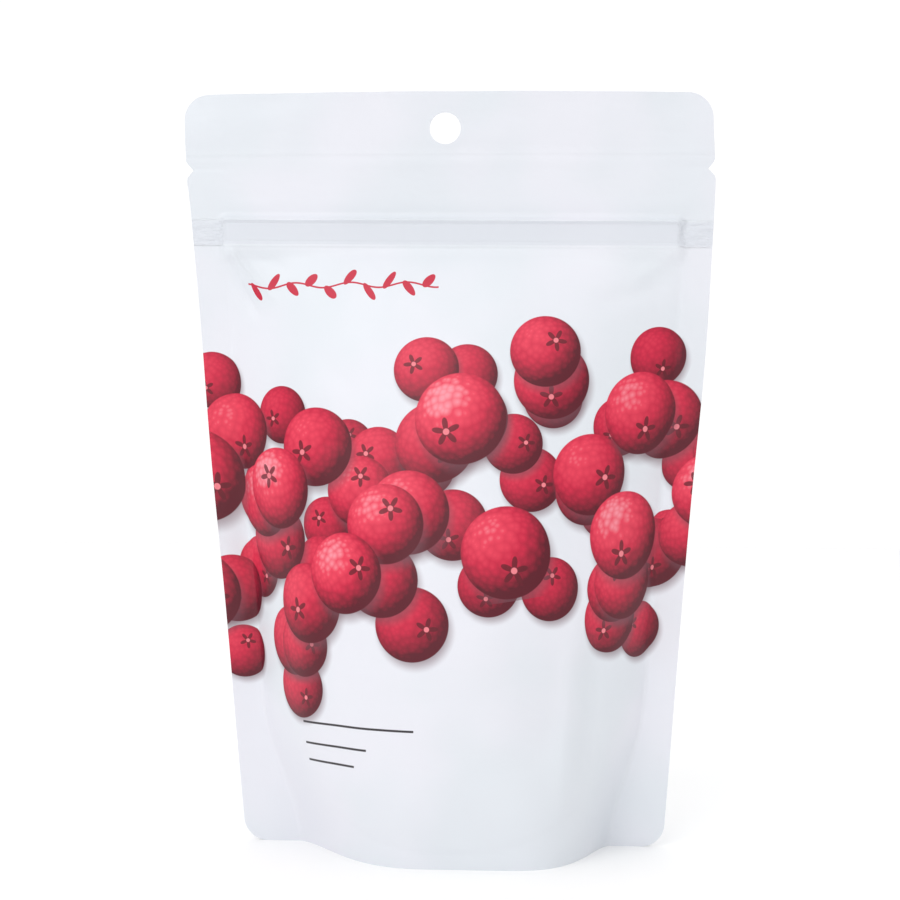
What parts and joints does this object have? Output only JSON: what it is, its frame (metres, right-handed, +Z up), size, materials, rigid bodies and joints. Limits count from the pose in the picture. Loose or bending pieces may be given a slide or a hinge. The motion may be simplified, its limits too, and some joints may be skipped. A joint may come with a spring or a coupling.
{
  "type": "stand-up pouch",
  "caption": "Filled stand-up pouch of matte film with heat-sealed edges, press-to-close zip, tear notches, hang hole and opened bottom gusset, holding loose dried berries.",
  "frame": {"origin": "on the floor, under the middle of the pouch's width and depth", "axes": "+Z up along the pouch, -Y out of its front, +X to the right of the front"},
  "size_m": [0.14, 0.0634, 0.198],
  "materials": {
    "film_white": "matte white laminate film",
    "zip_profile": "milky polyethylene",
    "dried_berry": "dry, velvety, crimson"
  },
  "bodies": {
    "root": {"front_film": "film_white", "back_film": "film_white", "bottom_gusset": "film_white", "zip_rib_strip": "zip_profile", "zip_groove_strip": "zip_profile", "raspberry_01": "dried_berry", "raspberry_02": "dried_berry", "raspberry_03": "dried_berry", "raspberry_04": "dried_berry", "raspberry_05": "dried_berry", "raspberry_06": "dried_berry", "raspberry_07": "dried_berry", "raspberry_08": "dried_berry", "raspberry_09": "dried_berry", "raspberry_10": "dried_berry", "raspberry_11": "dried_berry", "raspberry_12": "dried_berry", "raspberry_13": "dried_berry", "raspberry_14": "dried_berry", "raspberry_15": "dried_berry", "raspberry_16": "dried_berry", "raspberry_17": "dried_berry", "raspberry_18": "dried_berry", "raspberry_19": "dried_berry", "raspberry_20": "dried_berry", "raspberry_21": "dried_berry", "raspberry_22": "dried_berry", "raspberry_23": "dried_berry", "raspberry_24": "dried_berry", "raspberry_25": "dried_berry", "raspberry_26": "dried_berry", "raspberry_27": "dried_berry", "raspberry_28": "dried_berry", "raspberry_29": "dried_berry", "raspberry_30": "dried_berry", "raspberry_31": "dried_berry", "raspberry_32": "dried_berry", "raspberry_33": "dried_berry", "raspberry_34": "dried_berry", "raspberry_35": "dried_berry", "raspberry_36": "dried_berry", "raspberry_37": "dried_berry", "raspberry_38": "dried_berry", "raspberry_39": "dried_berry", "raspberry_40": "dried_berry", "raspberry_41": "dried_berry", "raspberry_42": "dried_berry", "raspberry_43": "dried_berry", "raspberry_44": "dried_berry", "raspberry_45": "dried_berry", "raspberry_46": "dried_berry", "raspberry_47": "dried_berry", "raspberry_48": "dried_berry", "raspberry_49": "dried_berry", "raspberry_50": "dried_berry"}
  },
  "joints": []
}
